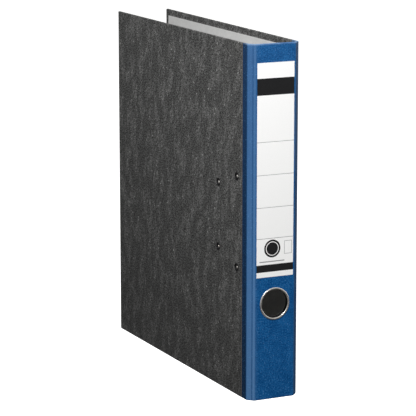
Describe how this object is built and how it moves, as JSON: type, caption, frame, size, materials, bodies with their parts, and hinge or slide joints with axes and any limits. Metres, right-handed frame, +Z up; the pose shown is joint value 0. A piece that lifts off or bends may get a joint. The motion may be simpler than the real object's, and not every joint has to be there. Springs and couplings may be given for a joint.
{
  "type": "lever arch file",
  "caption": "Upright A4 lever arch file: hinged board covers and narrow spine with a label and finger ring, holding a lever-opened two-bow arch mechanism.",
  "frame": {"origin": "centre of the closed file's bounding box, on the floor that its bottom edges stand on", "axes": "+Z up along the spine, -Y out of the spine face, +Y towards the fore-edge, -X out of the back cover that carries the mechanism"},
  "size_m": [0.0536, 0.2856, 0.318],
  "materials": {
    "greyboard": "matte",
    "marbled_paper": "matte",
    "blue_paper": "matte",
    "lining_paper": "matte",
    "label_paper": "matte",
    "nickel": "satin",
    "steel": "satin"
  },
  "bodies": {
    "back_cover": {"back_board": "greyboard", "back_cover_paper": "marbled_paper", "back_spine_paper": "blue_paper", "back_lining": "lining_paper", "base_plate": "nickel", "post_upper": "nickel", "post_lower": "nickel", "lever_pin": "steel", "arch_spring": "steel", "rivet_upper_near": "nickel", "rivet_lower_near": "nickel", "rivet_upper_far": "nickel", "rivet_lower_far": "nickel"},
    "back_bevel": {"back_bevel_board": "greyboard", "back_bevel_paper": "blue_paper", "back_bevel_lining": "lining_paper"},
    "spine": {"spine_board": "greyboard", "spine_paper": "blue_paper", "spine_lining": "lining_paper", "spine_label": "label_paper", "finger_ring": "nickel", "finger_ring_backing": "nickel"},
    "front_bevel": {"front_bevel_board": "greyboard", "front_bevel_paper": "blue_paper", "front_bevel_lining": "lining_paper"},
    "front_cover": {"front_board": "greyboard", "front_cover_paper": "marbled_paper", "front_spine_paper": "blue_paper", "front_lining": "lining_paper", "slot_liner_upper": "nickel", "slot_liner_lower": "nickel"},
    "arch": {"arch": "nickel"},
    "lever": {"lever": "nickel", "roller_pin": "steel"},
    "roller": {"roller": "steel"},
    "compressor": {"compressor_bar": "nickel"}
  },
  "joints": [
    {"name": "back_outer_crease", "type": "hinge", "parent": "back_cover", "child": "back_bevel", "pos_m": [-0.02683, -0.1367, 0.159], "axis": [0, 0, -1], "range_deg": [0, 45]},
    {"name": "back_inner_crease", "type": "hinge", "parent": "back_bevel", "child": "spine", "pos_m": [-0.02133, -0.1422, 0.159], "axis": [0, 0, -1], "range_deg": [0, 45]},
    {"name": "front_inner_crease", "type": "hinge", "parent": "spine", "child": "front_bevel", "pos_m": [0.01767, -0.1422, 0.159], "axis": [0, 0, -1], "range_deg": [0, 90]},
    {"name": "front_outer_crease", "type": "hinge", "parent": "front_bevel", "child": "front_cover", "pos_m": [0.02317, -0.1367, 0.159], "axis": [0, 0, -1], "range_deg": [0, 90]},
    {"name": "lever_pivot", "type": "hinge", "parent": "back_cover", "child": "lever", "pos_m": [-0.01216, -0.09655, 0.17], "axis": [0, -1, 0], "range_deg": [0, 50]},
    {"name": "arch_pivot", "type": "hinge", "parent": "back_cover", "child": "arch", "pos_m": [-0.01823, -0.1052, 0.158], "axis": [0, 0, -1], "range_deg": [0, 68.18]},
    {"name": "roller_spin", "type": "hinge", "parent": "lever", "child": "roller", "pos_m": [-0.01592, -0.09655, 0.15966], "axis": [0, 1, 0], "continuous": true},
    {"name": "compressor_slide", "type": "slide", "parent": "back_cover", "child": "compressor", "axis": [1, 0, 0], "range_m": [0, 0.013]}
  ],
  "couplings": [
    {"joint": "back_inner_crease", "follows": "back_outer_crease", "ratio": 1},
    {"joint": "front_outer_crease", "follows": "front_inner_crease", "ratio": 1},
    {"joint": "arch_pivot", "follows": "lever_pivot", "ratio": 1.3636}
  ]
}
